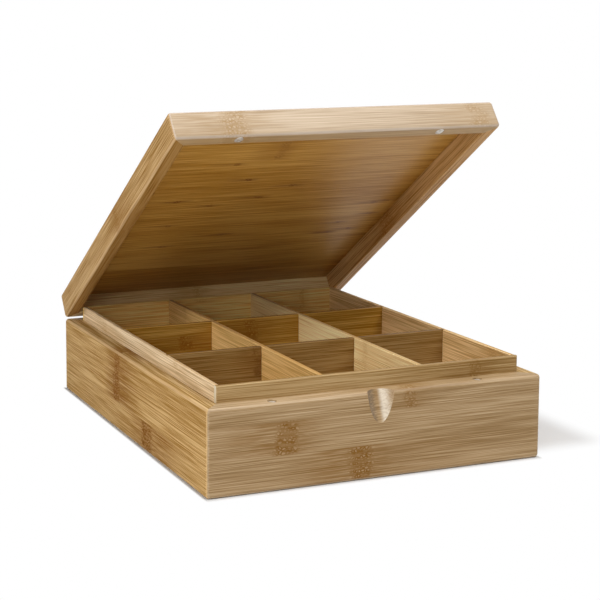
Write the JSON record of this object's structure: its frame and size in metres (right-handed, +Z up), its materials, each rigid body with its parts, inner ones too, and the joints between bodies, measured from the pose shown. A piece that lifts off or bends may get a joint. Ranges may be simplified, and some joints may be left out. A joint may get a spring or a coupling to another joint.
{
  "type": "tea bag organizer box",
  "caption": "Flat bamboo organizer box with a lapped divider grid, a lining that stands above the rim as a lip, a finger notch and a framed lid on rear butt hinges.",
  "frame": {"origin": "centre of the flat underside of the box", "axes": "+Z up, the front with the finger notch faces -Y, +X to the right as seen from the front"},
  "size_m": [0.24, 0.2905, 0.2326],
  "materials": {
    "bamboo_wall": "satin clear lacquer over horizontal grain",
    "bamboo_base": "satin clear lacquer",
    "bamboo_liner": "satin clear lacquer, pale",
    "bamboo_divider": "satin clear lacquer",
    "bamboo_rail": "satin clear lacquer over horizontal grain",
    "bamboo_panel": "satin clear lacquer, wide strips",
    "hinge_brass": "brushed",
    "screw_steel": "plated",
    "pin_steel": "drawn wire",
    "magnet_nickel": "nickel plated"
  },
  "bodies": {
    "box": {"wall_front": "bamboo_wall", "wall_back": "bamboo_wall", "wall_left": "bamboo_wall", "wall_right": "bamboo_wall", "base_panel": "bamboo_base", "liner_front": "bamboo_liner", "liner_back": "bamboo_liner", "liner_left": "bamboo_liner", "liner_right": "bamboo_liner", "divider_long_left": "bamboo_divider", "divider_long_right": "bamboo_divider", "divider_cross_front": "bamboo_divider", "divider_cross_rear": "bamboo_divider", "box_magnets": "magnet_nickel", "hinge_box_leaf_left": "hinge_brass", "hinge_box_leaf_right": "hinge_brass", "box_hinge_screws": "screw_steel", "hinge_pin_left": "pin_steel", "hinge_pin_right": "pin_steel"},
    "lid": {"lid_rail_front": "bamboo_rail", "lid_rail_back": "bamboo_rail", "lid_rail_left": "bamboo_rail", "lid_rail_right": "bamboo_rail", "lid_panel": "bamboo_panel", "lid_magnets": "magnet_nickel", "hinge_lid_leaf_left": "hinge_brass", "hinge_lid_leaf_right": "hinge_brass", "lid_hinge_screws": "screw_steel"}
  },
  "joints": [
    {"name": "lid_hinge", "type": "hinge", "parent": "box", "child": "lid", "pos_m": [0, 0.1385, 0.057], "axis": [-1, 0, 0], "range_deg": [-35, 65]}
  ]
}
